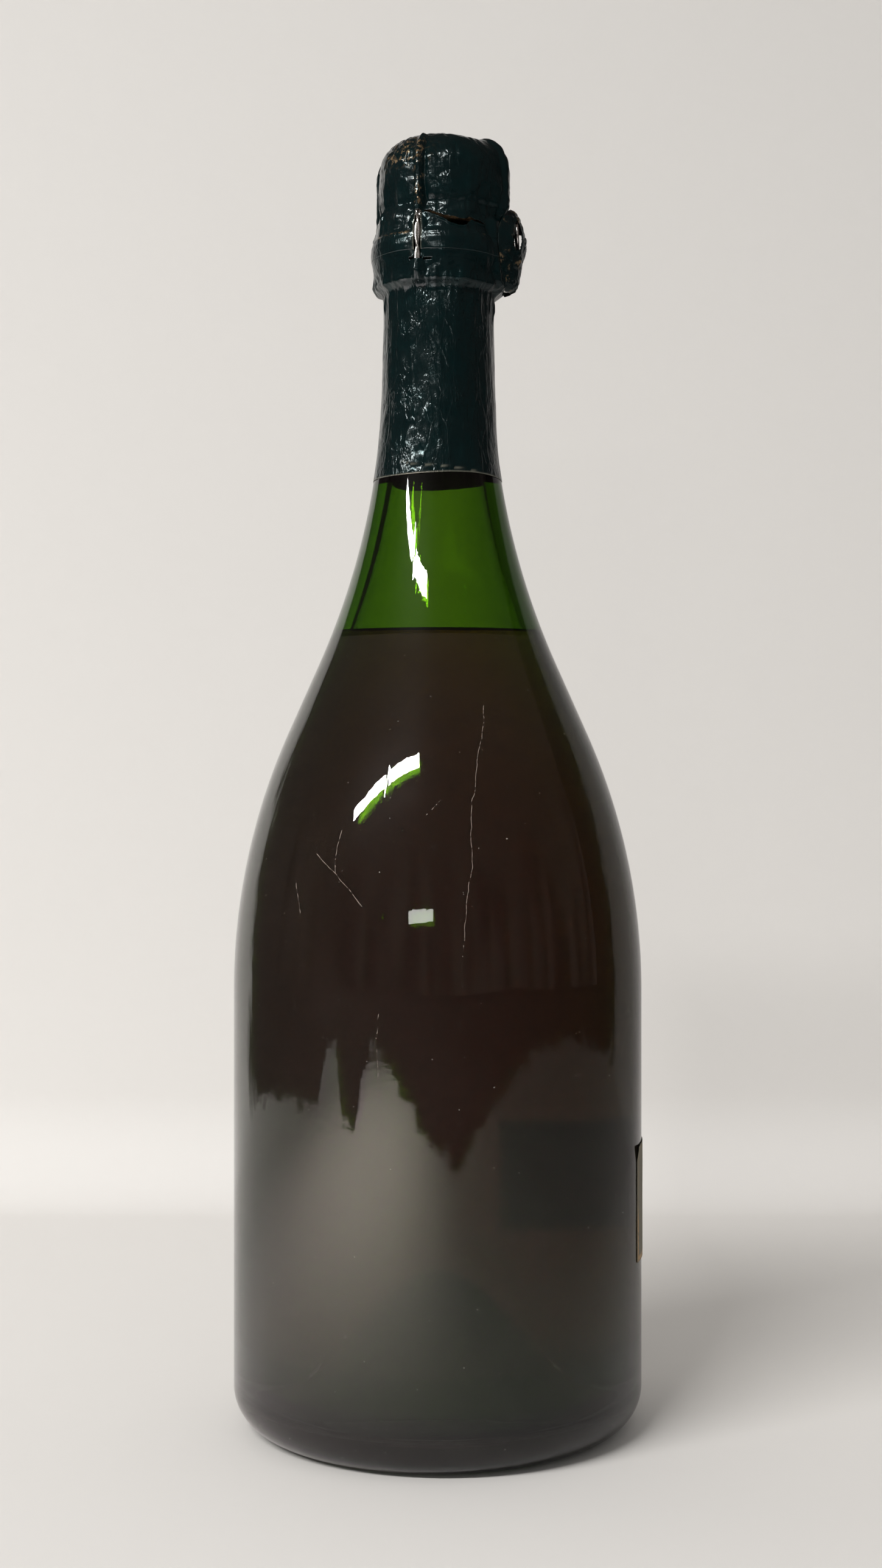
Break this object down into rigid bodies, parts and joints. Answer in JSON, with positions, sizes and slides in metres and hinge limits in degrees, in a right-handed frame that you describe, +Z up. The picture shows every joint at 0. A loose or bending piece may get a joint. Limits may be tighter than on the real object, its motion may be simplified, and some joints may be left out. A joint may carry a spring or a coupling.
{
  "type": "sparkling wine bottle",
  "caption": "Closed magnum sparkling wine bottle of green glass with hollow base, mushroom cork, twisted wire cage, crinkled foil over the neck and a bare label.",
  "frame": {"origin": "centre of the base, on the surface that the bottle stands on", "axes": "+Z up along the bottle's axis; -Y is the side that faced the camera, +X its right"},
  "size_m": [0.1152, 0.115, 0.3622],
  "materials": {
    "green_glass": "polished, dark green",
    "wine": "clear, dark amber brown liquid",
    "label_paper": "uncoated, grey brown with a thin gilt edge line",
    "foil": "crinkled satin foil, dark blue green",
    "agglomerated_cork": "pressed cork granules",
    "natural_cork": "natural cork with lenticels",
    "lacquered_plate": "satin lacquer",
    "cage_wire": "bright drawn wire"
  },
  "bodies": {
    "bottle": {"glass_bottle": "green_glass", "wine": "wine", "label": "label_paper", "neck_foil": "foil"},
    "stopper": {"cork_body": "agglomerated_cork", "cork_disc_upper": "natural_cork", "cork_disc_lower": "natural_cork"},
    "cage": {"cap_plate": "lacquered_plate", "cage_top_ring": "cage_wire", "cage_leg_front": "cage_wire", "cage_leg_right": "cage_wire", "cage_leg_back": "cage_wire", "cage_leg_left": "cage_wire", "belt_wire": "cage_wire"},
    "loop_base": {"loop_root": "cage_wire"},
    "loop": {"wire_loop": "cage_wire", "foil_tab": "foil"},
    "hood": {"foil_hood": "foil"}
  },
  "joints": [
    {"name": "cork_pull", "type": "slide", "parent": "bottle", "child": "stopper", "axis": [0, 0, 1], "range_m": [0, 0.045], "deforming": ["belt_wire", "cage_leg_front", "cage_leg_right", "cage_leg_back", "cage_leg_left"]},
    {"name": "cage_lift", "type": "slide", "parent": "stopper", "child": "cage", "axis": [0, 0, 1], "range_m": [0, 0.045]},
    {"name": "hood_lift", "type": "slide", "parent": "cage", "child": "hood", "axis": [0, 0, 1], "range_m": [0, 0.04]},
    {"name": "loop_twist", "type": "hinge", "parent": "cage", "child": "loop_base", "pos_m": [0.019, 0, 0.3203], "axis": [1, 0, 0], "range_deg": [0, 1080]},
    {"name": "loop_fold", "type": "hinge", "parent": "loop_base", "child": "loop", "pos_m": [0.02163, 0, 0.3203], "axis": [0, 1, 0], "range_deg": [0, 100]}
  ]
}
